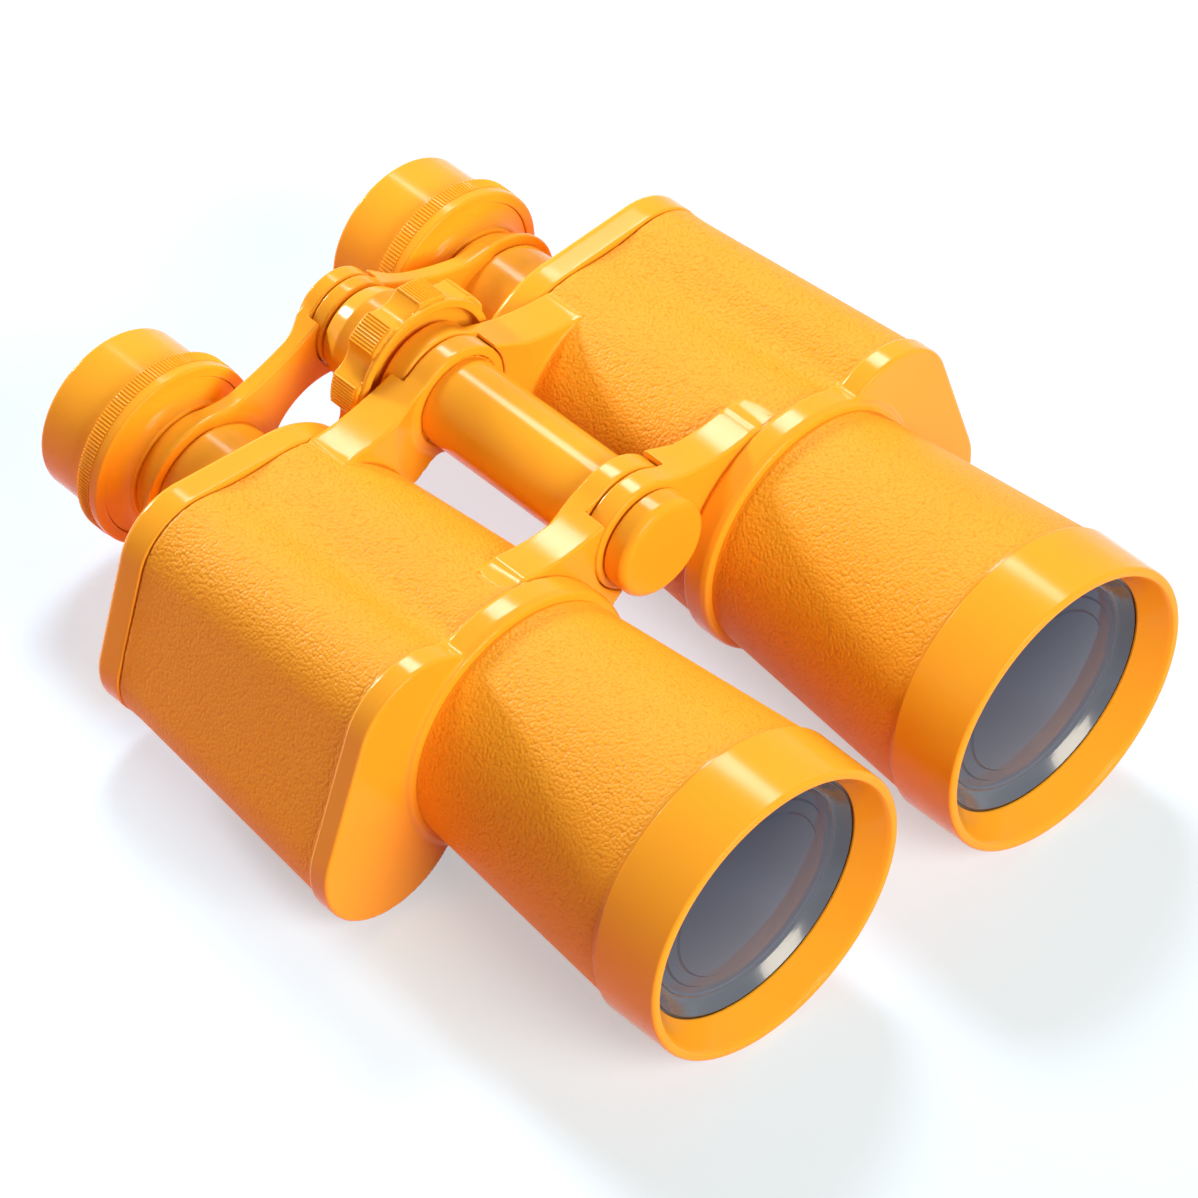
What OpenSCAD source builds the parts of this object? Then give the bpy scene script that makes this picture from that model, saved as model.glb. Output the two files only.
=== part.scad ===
// Toy binoculars, millimetres, +Z up, objectives toward -Y, eyepieces toward +Y.
// Origin at the bottom centre of the box round the whole object.

/* [Objective end] */
// Width of the rim between the lens opening and the outside of the ring
rim_w = 4; // [3.6:0.1:4.6]
// Length of the objective ring along the barrel
ring_len = 13; // [12:0.5:14]
// Radius of the opening in front of the lens
lens_clear_r = 20; // [19.5:0.1:20.2]
// How far the lens edge lies behind the front lip
lens_depth = 6; // [5:0.2:7]
// Step down from the ring to the barrel
ring_step = 0.6; // [0.5:0.1:1]
// Barrel radius at the collar
barrel_rear_r = 20; // [19.6:0.1:20.4]
// Length of the visible taper of the barrel
barrel_len = 40.6; // [38:0.5:43]

/* [Housing] */
// Half the spacing of the two barrel axes
half_span = 29.2; // [28.8:0.1:30.4]
// Radius of the collar round the barrel
collar_r = 21.2; // [21:0.1:21.6]
// Length of the smooth front band
band_len = 3.8; // [3:0.2:5]
// Length of the grained housing behind the band
housing_len = 46.4; // [44:0.4:50]
// Length of the rear cover band
cover_len = 5.4; // [4.6:0.2:6.4]
// Wall thickness of the housing
wall = 2.2; // [1.8:0.1:2.6]
// How far the front band stands proud of the housing
proud = 0.6; // [0.3:0.1:0.9]

/* [Hinge] */
// Height of the hinge axis above the barrel axes
hinge_rise = 13.9; // [13.6:0.1:14.6]
// Radius of the hinge knuckles
knuckle_r = 9.2; // [8.8:0.1:9.4]
// Width of one front knuckle
front_knuckle = 3.8; // [3.2:0.1:4.2]
// Width of one rear knuckle
rear_knuckle = 3.8; // [3.2:0.1:4]
// Slit between neighbouring knuckles
slit = 0.4; // [0.3:0.05:0.5]
// Radius of the centre tube
tube_r = 7; // [6.4:0.1:7.4]
// Radius of the hinge axle
axle_r = 2.5; // [2.2:0.1:2.8]
// Share of the room between hinge axis and collar that the front cap takes
cap_share = 0.736; // [0.7:0.004:0.78]

/* [Focus] */
// Radius over the lobes of the focus wheel
wheel_r = 13.6; // [13:0.1:14]
// Width of the focus wheel
wheel_len = 5.4; // [4.8:0.2:5.8]
// Number of lobes on the focus wheel
lobes = 8; // [6:1:10]
// Radius of the focus spindle
spindle_r = 3.2; // [3:0.1:3.4]

/* [Eyepiece] */
// Outer radius of the guide tube
guide_r = 10.8; // [10.4:0.1:11.2]
// Length of the guide tube behind the cover
guide_len = 11.4; // [10.5:0.3:12]
// Radius of the sliding sleeve
sleeve_r = 8.9; // [8.6:0.1:9]
// Thickness of the bridge arms
bridge_t = 4.6; // [4.2:0.2:5]
// Radius of the bridge hub rings
hub_r = 7.2; // [6.8:0.1:7.4]
// Radius of the knurled band
knurl_r = 15.9; // [15.4:0.1:16.2]
// Width of the knurled band
knurl_len = 3.6; // [3.2:0.1:4]
// Outer radius of the eyecup
cup_r = 13.9; // [13.5:0.1:14.2]
// Length of the eyecup behind the knurled band
cup_len = 10.1; // [9:0.3:11]

/* [Hidden] */
$fn = 96;
// Radii that follow from the lens and from the room at the hinge
ring_r = lens_clear_r + rim_w;
barrel_front_r = ring_r - ring_step;
cap_r = cap_share * (norm([half_span, hinge_rise]) - collar_r);
// Stations along the length, counted from the front lip
collar_y = ring_len + barrel_len;
plate_y = collar_y + 0.8;
shell_y = plate_y + band_len;
cover_y = shell_y + housing_len;
cover_end = cover_y + cover_len;
guide_end = cover_end + guide_len;
bridge_y = guide_end + 0.2;
bridge_end = bridge_y + bridge_t;
bell_y = bridge_end + 0.8;
cup_y = bell_y + 3.2;
knurl_end = cup_y + knurl_len;
total_len = knurl_end + cup_len;
// Stations of the hinge
front_a = shell_y + 0.6;
front_b = front_a + front_knuckle;
front_c = front_b + slit;
front_d = front_c + front_knuckle;
rear_d = cover_y - 6.4;
rear_c = rear_d + rear_knuckle;
rear_b = rear_c + slit;
rear_a = rear_b + rear_knuckle;
cap_y = plate_y - 0.1;
wheel_y = rear_a + 0.5;
wheel_end = wheel_y + wheel_len;
boss_end = bridge_y - 1.4;
// Small fits
run_fit = 0.05;
free_fit = 0.4;
// Wall of the barrel at its front and rear
barrel_wall = 2;
spigot_r = ring_r - 1.9;
lens_r = lens_clear_r + 1.1;
lens_edge = 2.3;
spigot_y = lens_depth + 0.3 + lens_edge;
plug_r = barrel_rear_r - 1.6;
// Outline circles of the outer lobe as [along the outside, height, radius]
lobe_top = [17.8, 10, 11.9];
lobe_low = [23.6, -9.6, 13];
tail_top = [16.6, 7.8, 11];
tail_low = [22.8, -8.8, 9.8];
tail_r = 17.6;
tail_core = [0, 0, tail_r];
cover_proud = 0.35;
tuck = 0.03;

// Colours
abs_c = [0.98, 0.68, 0.1];
grain_c = [0.95, 0.6, 0.1];
glass_c = [0.5, 0.53, 0.57];
black_c = [0.08, 0.08, 0.09];
steel_c = [0.7, 0.7, 0.72];

// Turns a profile of [radius, station] round an axis along +Y
module turn() {
  translate([0, -total_len / 2, 0]) rotate([-90, 0, 0]) rotate_extrude() children();
}
// Raises an outline drawn as [x, height] from station a to station b
module slab(a, b) {
  translate([0, b - total_len / 2, 0]) rotate([90, 0, 0]) linear_extrude(height = b - a) children();
}
module rod(r, a, b) {
  turn() translate([0, a]) square([r, b - a]);
}
// Places one side, with +X pointing outward from the barrel axis
module right_side() {
  translate([-half_span, 0, ring_r]) mirror([1, 0, 0]) children();
}
module left_side() {
  translate([half_span, 0, ring_r]) children();
}
module on_hinge() {
  translate([0, 0, ring_r + hinge_rise]) children();
}

// Outer tangent of two circles on the right of the way from a to b, tucked a hair inside them
function spot(c, r, way) = [c[0] + (r - tuck) * cos(way), c[1] + (r - tuck) * sin(way)];
function tangent(a, b, inset) = let (
  r1 = a[2] - inset,
  r2 = b[2] - inset,
  gap = [b[0] - a[0], b[1] - a[1]],
  way = atan2(gap[1], gap[0]) - acos((r1 - r2) / norm(gap))) [spot(a, r1, way), spot(b, r2, way)];
module disc(c, inset) {
  translate([c[0], c[1]]) circle(c[2] - inset);
}
// Outline of two circles joined by their outer tangents
module lobe(a, b, inset) {
  disc(a, inset);
  disc(b, inset);
  polygon(concat(tangent(a, b, inset), tangent(b, a, inset)));
}
module band_outline(inset) {
  circle(collar_r - inset);
  lobe(lobe_top, lobe_low, inset);
}
module tail_outline(inset) {
  circle(tail_r - inset);
  lobe(tail_top, tail_low, inset);
}
// Outline of the rear cover, flat across the top between barrel and lobe
module cover_outline(inset) {
  disc(tail_core, inset);
  disc(tail_top, inset);
  disc(tail_low, inset);
  polygon(concat(tangent(tail_core, tail_low, inset), tangent(tail_low, tail_top, inset),
    tangent(tail_top, tail_core, inset)));
}
// Point where a circle round the barrel axis meets a lobe circle, on the chosen side
function meet(r, c, side) = let (
  reach = norm([c[0], c[1]]),
  spread = acos((r * r + reach * reach - c[2] * c[2]) / (2 * r * reach)),
  way = atan2(c[1], c[0]) + side * spread) [r * cos(way), r * sin(way)];
// Tapered lobe of the housing between two stations
module taper_lobe(a, b, inset_a, inset_b) {
  hull() {
    slab(a, a + 0.05) lobe(lobe_top, lobe_low, inset_a, $fn = 56);
    slab(b - 0.05, b) lobe(tail_top, tail_low, inset_b, $fn = 56);
  }
}
// Skin that runs from the front valleys to the flat top and bottom of the cover
module taper_fill(a, b) {
  r = collar_r - proud - 0.2;
  top = [lobe_top[0], lobe_top[1], lobe_top[2] - proud - 0.2];
  low = [lobe_low[0], lobe_low[1], lobe_low[2] - proud - 0.2];
  hull() {
    slab(a, a + 0.05) polygon([[0, 0], meet(r, top, 1), [top[0], top[1]], [low[0], low[1]], meet(r, low, -1)]);
    slab(b - 0.05, b) cover_outline(cover_proud, $fn = 56);
  }
}
module taper_round(a, b, ra, rb) {
  turn() polygon([[0, a], [ra, a], [rb, b], [0, b]]);
}

// Housing shell of one side with its front plate and collar
module shell() {
  plate_in = plate_y + wall;
  difference() {
    union() {
      slab(plate_y, shell_y) band_outline(0);
      rod(collar_r, collar_y, shell_y);
      taper_round(shell_y - 0.5, cover_y, collar_r - proud, tail_r - cover_proud);
      taper_lobe(shell_y - 0.5, cover_y, proud, cover_proud);
      taper_fill(shell_y - 0.5, cover_y);
    }
    taper_round(plate_in, cover_y + 0.1, collar_r - proud - wall, tail_r - cover_proud - wall);
    taper_lobe(plate_in, cover_y + 0.1, proud + wall, cover_proud + wall);
    rod(plug_r, collar_y - 1, plate_in + 1);
  }
}

// Web outlines between the barrel and the hinge, +X outward, barrel axis at the origin
module front_web() {
  difference() {
    polygon([[-half_span + 1, 21.8], [-8.6, 21.2], [-4, 19.6], [-14, 3], [-half_span + 7.6, 1.6],
      [-half_span + 3.4, hinge_rise - 8.4], [-half_span + 1, hinge_rise]]);
    translate([-half_span + 16, 49.5]) circle(30);
  }
}
module rear_web() {
  difference() {
    polygon([[-half_span + 1, 22], [-9, 22], [-4.5, 15], [-12, 4], [-half_span + 9.5, 4.4],
      [-half_span + 3.2, hinge_rise - 8.2], [-half_span + 1, hinge_rise]]);
    translate([-half_span + 24.5, 60.8]) circle(44);
  }
}
module foot() {
  translate([-7.2, 14]) square([4.6, 6.7]);
}
module hinge_disc(r, a, b) {
  translate([-half_span, 0, hinge_rise]) rod(r, a, b);
}
// Arms of one side: web, socket for the other side's knuckle, own knuckle
module arms(own_front_a, own_front_b, other_front_a, other_front_b,
    own_rear_a, own_rear_b, other_rear_a, other_rear_b) {
  difference() {
    union() {
      slab(front_a, front_d) front_web();
      slab(front_a + 0.4, front_d - 1.4) foot();
      slab(rear_d, cover_y) rear_web();
    }
    hinge_disc(knuckle_r + free_fit, other_front_a - slit, other_front_b + slit);
    hinge_disc(knuckle_r + free_fit, other_rear_a - slit, other_rear_b + slit);
    hinge_disc(knuckle_r - 0.5, front_a - 1, front_d + 1);
    hinge_disc(knuckle_r - 0.5, rear_d - 1, rear_a + 1);
  }
  hinge_disc(knuckle_r, own_front_a, own_front_b);
  hinge_disc(knuckle_r, own_rear_a, own_rear_b);
}
module inner_room() {
  plate_in = plate_y + wall;
  taper_round(plate_in, cover_y + 0.1, collar_r - proud - wall, tail_r - cover_proud - wall);
}
module right_body() {
  color(grain_c) right_side() difference() {
    union() {
      shell();
      difference() {
        arms(front_c, front_d, front_a, front_b, rear_d, rear_c, rear_b, rear_a);
        inner_room();
      }
    }
    hinge_disc(axle_r, front_a - 1, rear_a + 1);
  }
}
module left_body() {
  color(grain_c) left_side() difference() {
    union() {
      shell();
      difference() {
        arms(front_a, front_b, front_c, front_d, rear_b, rear_a, rear_d, rear_c);
        inner_room();
      }
    }
    hinge_disc(axle_r + run_fit, front_a - 1, rear_a + 1);
  }
}

// Rear cover with its locating lip and the guide tube of the eyepiece
module rear_cover() {
  lip = cover_proud + wall + 0.5;
  difference() {
    union() {
      difference() {
        union() {
          slab(cover_y, cover_end) cover_outline(0);
          slab(cover_y - 3, cover_y + 0.5) tail_outline(lip);
        }
        slab(cover_y - 4, cover_end - wall) tail_outline(lip + 1.4);
      }
      rod(guide_r, cover_y - 2, guide_end);
    }
    rod(sleeve_r + run_fit, cover_y - 5, guide_end + 1);
  }
}
module right_rear_cover() {
  color(abs_c) right_side() rear_cover();
}
module left_rear_cover() {
  color(abs_c) left_side() rear_cover();
}

// Tapered barrel with a spigot for the ring and a plug for the collar
module barrel() {
  plug_end = plate_y + wall + 0.8;
  turn() polygon([[spigot_r, spigot_y], [spigot_r, ring_len], [barrel_front_r, ring_len],
    [barrel_rear_r, collar_y], [plug_r, collar_y], [plug_r, plug_end],
    [plug_r - barrel_wall, plug_end], [spigot_r - barrel_wall, spigot_y]]);
}
module right_barrel() {
  color(grain_c) right_side() barrel();
}
module left_barrel() {
  color(grain_c) left_side() barrel();
}

// Objective ring with a rounded lip and a wide conical face
module objective_ring() {
  lip_r = ring_r - 1.4;
  turn() union() {
    translate([lip_r, 1.4]) circle(1.4);
    polygon([[lip_r, 0.3], [lip_r + 1.4, 1.4], [ring_r, ring_len], [spigot_r, ring_len],
      [spigot_r, spigot_y], [lens_r + 0.1, spigot_y], [lens_r + 0.1, lens_depth + 0.3],
      [lens_clear_r, lens_depth + 0.3], [lens_clear_r, lens_depth], [lip_r - 1.2, 0.7]]);
  }
}
module right_objective_ring() {
  color(abs_c) right_side() objective_ring();
}
module left_objective_ring() {
  color(abs_c) left_side() objective_ring();
}

// Convex front lens with a flat rim
module objective_lens() {
  bulge = 110;
  sag = bulge - sqrt(bulge * bulge - lens_clear_r * lens_clear_r);
  face = lens_depth + 0.3;
  turn() intersection() {
    union() {
      translate([0, face]) square([lens_r, lens_edge]);
      translate([0, face - sag]) square([lens_clear_r - 0.05, sag + 0.1]);
    }
    union() {
      translate([0, face - sag + bulge]) circle(bulge, $fn = 360);
      translate([lens_clear_r - 0.3, face]) square([2, lens_edge]);
    }
    square([lens_r, 30]);
  }
}
module right_objective_lens() {
  color(glass_c) right_side() objective_lens();
}
module left_objective_lens() {
  color(glass_c) left_side() objective_lens();
}

// Black liner inside the barrel with a stop ring at its rear
module baffle() {
  plug_end = plate_y + wall + 0.8;
  in_front = spigot_r - barrel_wall;
  in_rear = plug_r - barrel_wall;
  slope = (in_rear - in_front) / (plug_end - spigot_y);
  start = spigot_y + 0.6;
  finish = collar_y;
  r_start = in_front + slope * (start - spigot_y) - 0.04;
  r_finish = in_front + slope * (finish - spigot_y) - 0.04;
  turn() polygon([[r_start, start], [r_finish, finish], [12, finish], [12, finish - 1.2],
    [r_finish - 1, finish - 1.2], [r_start - 1, start]]);
}
module right_baffle() {
  color(black_c) right_side() baffle();
}
module left_baffle() {
  color(black_c) left_side() baffle();
}

// Sliding sleeve with the flared bell and the spigot of the eyecup
module eyepiece() {
  sleeve_y = cover_y - 8;
  bore = sleeve_r - 1.5;
  spig = cup_r - 2.4;
  seat_y = cup_y + 3.4;
  spig_end = cup_y + 6.4;
  flare = 2.6;
  turn() difference() {
    polygon([[bore, sleeve_y], [sleeve_r, sleeve_y], [sleeve_r, bell_y], [sleeve_r + 0.5, bell_y],
      [sleeve_r + 0.5, bell_y + 0.2], [knurl_r - 1.5, bell_y + 2.4], [knurl_r - 0.5, bell_y + 2.4],
      [knurl_r - 0.5, cup_y - 0.1], [spig, cup_y - 0.1], [spig, spig_end], [spig - 2, spig_end],
      [spig - 2, seat_y], [bore, seat_y]]);
    translate([sleeve_r + 0.5 + flare, bell_y + 0.2 - 0.6]) circle(flare);
  }
}
module right_eyepiece() {
  color(abs_c) right_side() eyepiece();
}
module left_eyepiece() {
  color(abs_c) left_side() eyepiece();
}

// Eyecup with its knurled band and rounded rear rim
module eyecup() {
  bore = cup_r - 2.35;
  step_y = cup_y + 6.6;
  rim = 1.2;
  turn() union() {
    polygon([[bore, cup_y], [knurl_r - 0.3, cup_y], [knurl_r, cup_y + 0.3], [knurl_r, knurl_end - 0.3],
      [knurl_r - 0.3, knurl_end], [cup_r, knurl_end], [cup_r, total_len - rim],
      [cup_r - 2 * rim, total_len - rim], [9.2, step_y + 1.4], [8.4, step_y + 1.4],
      [8.4, step_y], [bore, step_y]]);
    translate([cup_r - rim, total_len - rim]) circle(rim);
  }
}
module right_eyecup() {
  color(abs_c) right_side() eyecup();
}
module left_eyecup() {
  color(abs_c) left_side() eyecup();
}

// Small hollow-ground eye lens
module ocular_lens() {
  seat_y = cup_y + 3.4;
  r = cup_r - 4.4;
  hollow = 30;
  turn() difference() {
    translate([0, seat_y]) square([r, 2.8]);
    translate([0, seat_y + 1.6 + hollow]) circle(hollow, $fn = 240);
  }
}
module right_ocular_lens() {
  color(glass_c) right_side() ocular_lens();
}
module left_ocular_lens() {
  color(glass_c) left_side() ocular_lens();
}

// Bridge arm: conical collar on the sleeve, swept arm and a hub ring
module bridge_web() {
  difference() {
    polygon([[-half_span + 4, 20.6], [-half_span + 23.5, 12.6], [-2, 4], [-half_span + 19, -4],
      [-half_span + 4, 6.6]]);
    translate([-half_span + 34.8, 67.5]) circle(56);
    translate([-half_span + 6, -4.5]) circle(11.7);
  }
}
module bridge_arm(own_a, own_b, other_a, other_b) {
  ring_end = bell_y - 0.1;
  difference() {
    union() {
      turn() polygon([[0, bridge_y], [12.2, bridge_y], [12.2, bridge_y + 1],
        [sleeve_r + 1, ring_end], [0, ring_end]]);
      difference() {
        slab(bridge_y, bridge_end) bridge_web();
        hinge_disc(hub_r + free_fit, other_a - slit, other_b + slit);
        hinge_disc(hub_r - 0.5, bridge_y - 1, bridge_end + 1);
      }
      hinge_disc(hub_r, own_a, own_b);
    }
    rod(sleeve_r, bridge_y - 1, ring_end + 1);
    hinge_disc(spindle_r + run_fit, bridge_y - 5, bridge_end + 5);
  }
}
hub_mid = bridge_y + bridge_t / 2;
module right_bridge_arm() {
  color(abs_c) right_side() bridge_arm(hub_mid + slit / 2, bridge_end + 0.5, bridge_y - 0.5, hub_mid - slit / 2);
}
module left_bridge_arm() {
  color(abs_c) left_side() bridge_arm(bridge_y - 0.5, hub_mid - slit / 2, hub_mid + slit / 2, bridge_end + 0.5);
}

// Spacer tube between the inner knuckles
module hinge_tube() {
  color(abs_c) on_hinge() difference() {
    rod(tube_r, front_d, rear_d);
    rod(axle_r + 0.6, front_d - 1, rear_d + 1);
  }
}
// Steel axle with a head that holds the focus wheel
module hinge_axle() {
  color(steel_c) on_hinge() union() {
    rod(axle_r, cap_y + 1.6, wheel_y + 2.4);
    rod(axle_r + 1.2, wheel_y + 1.2, wheel_y + 2.4);
  }
}
// Rounded front cap
module front_cap() {
  soft = 1;
  color(abs_c) on_hinge() turn() difference() {
    union() {
      translate([0, cap_y]) square([cap_r - soft, front_a - 0.4 - cap_y]);
      translate([0, cap_y + soft]) square([cap_r, front_a - 0.4 - cap_y - soft]);
      translate([cap_r - soft, cap_y + soft]) circle(soft);
    }
    translate([0, cap_y + 1.6]) square([axle_r, 10]);
  }
}
// Scalloped focus wheel with its boss
module focus_wheel() {
  scallop = 4.4;
  reach = wheel_r + 2.7;
  flange = 0.9;
  step = 360 / lobes;
  color(abs_c) on_hinge() difference() {
    union() {
      rod(wheel_r - 0.6, wheel_y, wheel_y + flange);
      rod(wheel_r, wheel_y + flange, wheel_end);
      turn() polygon([[0, wheel_end - 1], [7.6, wheel_end - 1], [8.4, wheel_end + 1.6],
        [8.2, wheel_end + 3.4], [6.6, boss_end - 0.6], [5.8, boss_end], [0, boss_end]]);
    }
    for (k = [0 : lobes - 1]) rotate([0, k * step, 0]) translate([reach, 0, 0])
      rod(scallop, wheel_y + flange, wheel_end + 1);
    rod(axle_r + run_fit, wheel_y - 1, wheel_y + 3);
    rod(axle_r + 1.5, wheel_y + 1, wheel_y + 2.7);
    rod(spindle_r + run_fit, wheel_y + 2.6, boss_end + 1);
  }
}
// Spindle that carries the bridge
module focus_spindle() {
  color(abs_c) on_hinge() rod(spindle_r, wheel_y + 3, bridge_end + 1.6);
}
// Domed cap on the rear end of the spindle
module bridge_cap() {
  soft = 1.2;
  start = bridge_end + 0.9;
  finish = start + 2.4;
  r = hub_r - 1.4;
  color(abs_c) on_hinge() turn() difference() {
    union() {
      translate([0, start]) square([r, finish - soft - start]);
      translate([0, start]) square([r - soft, finish - start]);
      translate([r - soft, finish - soft]) circle(soft);
    }
    translate([0, start - 1]) square([spindle_r, 1.7]);
  }
}

right_body();
left_body();
right_rear_cover();
left_rear_cover();
right_barrel();
left_barrel();
right_objective_ring();
left_objective_ring();
right_objective_lens();
left_objective_lens();
right_baffle();
left_baffle();
right_eyepiece();
left_eyepiece();
right_eyecup();
left_eyecup();
right_ocular_lens();
left_ocular_lens();
right_bridge_arm();
left_bridge_arm();
hinge_tube();
hinge_axle();
front_cap();
focus_wheel();
focus_spindle();
bridge_cap();
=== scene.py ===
# Looks of the toy binoculars: moulded orange plastic skins, lenses, ridges, floor, light and camera.
import math

import bpy
import numpy as np
from mathutils import Matrix, Vector


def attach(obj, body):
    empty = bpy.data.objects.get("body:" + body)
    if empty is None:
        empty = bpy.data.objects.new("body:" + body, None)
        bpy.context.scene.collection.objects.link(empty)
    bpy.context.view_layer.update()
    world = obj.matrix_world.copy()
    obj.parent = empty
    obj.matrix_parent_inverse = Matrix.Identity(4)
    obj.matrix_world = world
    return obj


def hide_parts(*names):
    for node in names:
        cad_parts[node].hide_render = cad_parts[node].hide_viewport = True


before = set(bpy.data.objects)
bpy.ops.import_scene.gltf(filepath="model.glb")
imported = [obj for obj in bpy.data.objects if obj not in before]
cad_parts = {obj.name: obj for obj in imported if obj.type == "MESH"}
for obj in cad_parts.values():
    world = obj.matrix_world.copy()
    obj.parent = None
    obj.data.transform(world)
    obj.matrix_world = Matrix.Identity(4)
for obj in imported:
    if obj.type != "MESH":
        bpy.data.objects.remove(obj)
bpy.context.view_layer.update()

# Sizes in millimetres, stations counted from the front lip, heights from the barrel axes
MM = 0.001
TOTAL_LEN = 143.9
AXIS_HEIGHT = 24.0
HALF_SPAN = 29.2
HINGE_RISE = 13.9
SIDES = {"right": -1, "left": 1}

# Objective ring: rounded lip, cone down to the lens, and a seam with the barrel behind it
RING_R = 24.0
RING_LEN = 13.0
LIP_AT = 1.2
LIP_IN_R = 22.6
LIP_OUT_R = 23.9
CONE_R = 22.2
SEAM = 0.05

# Objective lens: seat, edge groove painted dark as shade, hollow bevel, bead and stepped face
LENS_R = 20.0
LENS_DEPTH = 6.0
LENS_SEAT_R = 21.1
LENS_SEAT_AT = 6.3
LENS_BACK = 10.0
LENS_EDGE = 19.5
LENS_FACE_AT = LENS_DEPTH + 1.9
LENS_FACE_R = 17.2
LENS_BULGE = 110.0
LENS_RIM_R = 16.5
LENS_RIM_RISE = 0.52
LENS_STEPS = (15.45, 13.45)
LENS_DROPS = (0.45, 0.22)
LENS_RADII = (16.2, 15.6, 15.3, 13.6, 13.3, 10.0, 7.5, 5.0, 2.5, 0.0)
BEVEL_IN_R = 17.6
BEVEL_DEPTH = 1.82
BEVEL_HOLLOW = 1.25
BEVEL_MARK = 0.35

# Barrel with a spigot at each end
BARREL_FRONT_R = 23.4
BARREL_REAR_R = 20.0
SPIGOT_R = 22.1
SPIGOT_AT = 8.6
SPIGOT_BORE_R = 20.1
TAIL_SPIGOT_R = 18.4
TAIL_SPIGOT_END = 57.4
TAIL_BORE_R = 16.4

# Housing: collar, front plate, grained shell, and rear cover with its guide tube
COLLAR_R = 21.2
COLLAR_AT = 53.6
PLATE_AT = 54.4
SHELL_AT = 58.2
COVER_AT = 104.6
COVER_END = 110.0
PROUD = 0.6
COVER_PROUD = 0.35
PARTING = 0.15
HOUSING_BORE_R = 17.9
TAIL_R = 17.6
GUIDE_R = 10.8
GUIDE_END = 121.4
# Circles of the side lobe as outward place, height, radius
LOBE_TOP = np.array([17.8, 10.0, 11.9])
LOBE_LOW = np.array([23.6, -9.6, 13.0])
TAIL_TOP = np.array([16.6, 7.8, 11.0])
TAIL_LOW = np.array([22.8, -8.8, 9.8])
TAIL_CORE = np.array([0.0, 0.0, TAIL_R])

# Hinge: arms with interleaved knuckles, tube and front cap
KNUCKLE_R = 9.2
FRONT_WEB = (58.8, 66.8)
REAR_WEB = (98.2, COVER_AT)
WEB_FLARE = 1.3
WEB_TIP = 7.5
SLIT = 0.45
FREE = 0.2
KNUCKLES = {
    "right": {"front": (63.0, 66.8), "rear": (98.2, 102.0)},
    "left": {"front": (58.8, 62.6), "rear": (102.4, 106.2)},
}
TUBE_R = 7.25
TUBE_BORE_R = 3.1
TUBE_ENDS = (66.85, 98.5)
TUBE_GAP = 0.35
CAP_R = 8.2
CAP_AT = 54.3
CAP_BACK = 58.4
# Outlines of the arms, and the circles that hollow their upper edges as reach, height, radius
FRONT_ARM = [(-HALF_SPAN + 1, 21.8), (-8.6, 21.2), (-4, 19.6), (-14, 3), (-HALF_SPAN + 7.6, 1.6),
             (-HALF_SPAN + 3.4, HINGE_RISE - 8.4), (-HALF_SPAN + 1, HINGE_RISE)]
FRONT_HOLLOW = (16.0, 49.5, 30.0)
# Block that fills the corner between the front arm and the shell, as middle and half size
FOOT_AT = (-4.9, 17.0)
FOOT_HALF = (2.3, 3.0)
REAR_ARM = [(-HALF_SPAN + 1, 22), (-9, 22), (-4.5, 15), (-12, 4), (-HALF_SPAN + 9.5, 4.4),
            (-HALF_SPAN + 3.2, HINGE_RISE - 8.2), (-HALF_SPAN + 1, HINGE_RISE)]
REAR_HOLLOW = (24.5, 60.8, 44.0)

# Focus wheel: scalloped rim, front flange with a dish, and a boss that runs back to the hubs
WHEEL_R = 13.6
WHEEL_AT = 105.4
WHEEL_END = 111.7
WHEEL_PHASE = math.radians(12.5)
LOBES = 8
LOBE_RIDGES = 10
RIDGE_PITCH = 0.039
SCALLOP_R = 4.1
SCALLOP_REACH = 16.3
FLANGE_LEN = 0.9
DISH_R = 11.6
DISH_DEPTH = 1.8
BOSS = [(0, 110.0), (6.0, 110.0), (6.9, 113.0), (6.9, 116.8), (6.0, 119.3), (0, 119.3)]
BOSS_ROUND = 1.5
AXLE_R = 2.6
SOCKET = (109.2, 130.0)
SPINDLE_R = 3.2

# Bridge: collar on each sleeve, swept arm and hub, and the cap behind the hubs
BRIDGE = (121.6, 124.5)
BRIDGE_FLARE = 1.7
BRIDGE_TIP = 6.6
HUB_R = 7.2
HUB_SLIT = 0.4
HUBS = {"right": (124.1, 126.7), "left": (121.1, 123.7)}
BRIDGE_COLLAR = [(0, 122.0), (11.8, 122.0), (11.8, 122.3), (9.5, 126.5), (0, 126.5)]
BRIDGE_ARM = [(-HALF_SPAN + 4, 20.6), (-HALF_SPAN + 27.5, 11.0), (-1, 4), (-HALF_SPAN + 19, -4),
              (-HALF_SPAN + 4, 6.6)]
BRIDGE_HOLLOW = (34.8, 67.5, 57.0)
BRIDGE_UNDER = (6.0, -4.5, 11.4)
BRIDGE_CAP_R = 4.8
BRIDGE_CAP = (126.8, 128.8)

# Eyepiece: sleeve, hollow bell, and the spigot that carries the cup
SLEEVE_R = 8.9
SLEEVE_BORE_R = 7.4
SLEEVE_AT = 96.6
BELL_AT = 127.0
BELL_BACK = 130.1
BELL_R = 13.6
BELL_HOLLOW = (3.3, 2.6)
OCULAR_R = 9.5
OCULAR_SEAT = 133.6
CUP_SPIGOT_R = 11.5
CUP_SPIGOT_END = 136.6

# Eyecup: skirt over the bell, knurled band, plain wall and rounded mouth
CUP_AT = 130.2
CUP_END = 144.5
CUP_R = 13.9
CUP_BORE_R = 11.55
CUP_MOUTH_R = 12.0
CUP_FLOOR = (136.8, 138.2)
EYE_HOLE_R = 8.4
SKIRT_AT = 129.3
SKIRT_R = 15.45
SKIRT_BORE_R = 13.68
KNURL_AT = 131.1
KNURL_END = 133.8
KNURL_SINK = 0.1
KNURL_RIDGES = 168
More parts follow.
